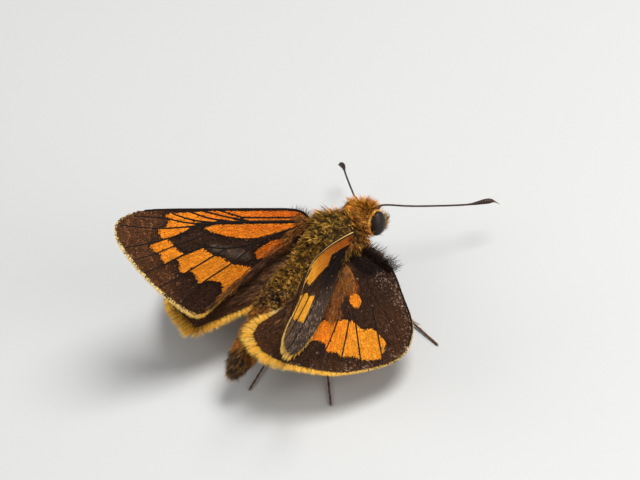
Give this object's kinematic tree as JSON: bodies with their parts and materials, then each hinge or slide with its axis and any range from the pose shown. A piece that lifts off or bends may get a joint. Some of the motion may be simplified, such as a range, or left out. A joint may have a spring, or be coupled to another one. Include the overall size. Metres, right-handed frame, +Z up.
{
  "type": "skipper butterfly specimen model",
  "caption": "Life-size still model of a resting skipper butterfly with raised forewings, spread hindwings and hooked feelers.",
  "frame": {"origin": "centre of the bounding box's bottom face, on the floor under the insect", "axes": "+Z up from the floor, +Y ahead of the head, +X the insect's right side"},
  "size_m": [0.0228, 0.0234, 0.0143],
  "materials": {
    "hair_gold": "dense olive and gold hair on the chest and head",
    "scales_brown": "dark brown scales with gold and rust hair on the abdomen",
    "scales_orange": "wing scales, dark brown with an orange band and a gold fringe",
    "eye_dark": "dark glossy compound eye",
    "leg_brown": "dark brown scaled legs and feelers"
  },
  "bodies": {
    "root": {"abdomen": "scales_brown", "antenna_left": "leg_brown", "antenna_right": "leg_brown", "eye_left": "eye_dark", "eye_right": "eye_dark", "fore_left_femur": "leg_brown", "fore_left_tarsus": "leg_brown", "fore_left_tibia": "leg_brown", "fore_right_femur": "leg_brown", "fore_right_tarsus": "leg_brown", "fore_right_tibia": "leg_brown", "forewing_left": "scales_orange", "forewing_right": "scales_orange", "head": "hair_gold", "hind_left_femur": "leg_brown", "hind_left_tarsus": "leg_brown", "hind_left_tibia": "leg_brown", "hind_right_femur": "leg_brown", "hind_right_tarsus": "leg_brown", "hind_right_tibia": "leg_brown", "hindwing_left": "scales_orange", "hindwing_right": "scales_orange", "mid_left_femur": "leg_brown", "mid_left_tarsus": "leg_brown", "mid_left_tibia": "leg_brown", "mid_right_femur": "leg_brown", "mid_right_tarsus": "leg_brown", "mid_right_tibia": "leg_brown", "palp_left": "hair_gold", "palp_right": "hair_gold", "thorax": "hair_gold"}
  },
  "joints": []
}
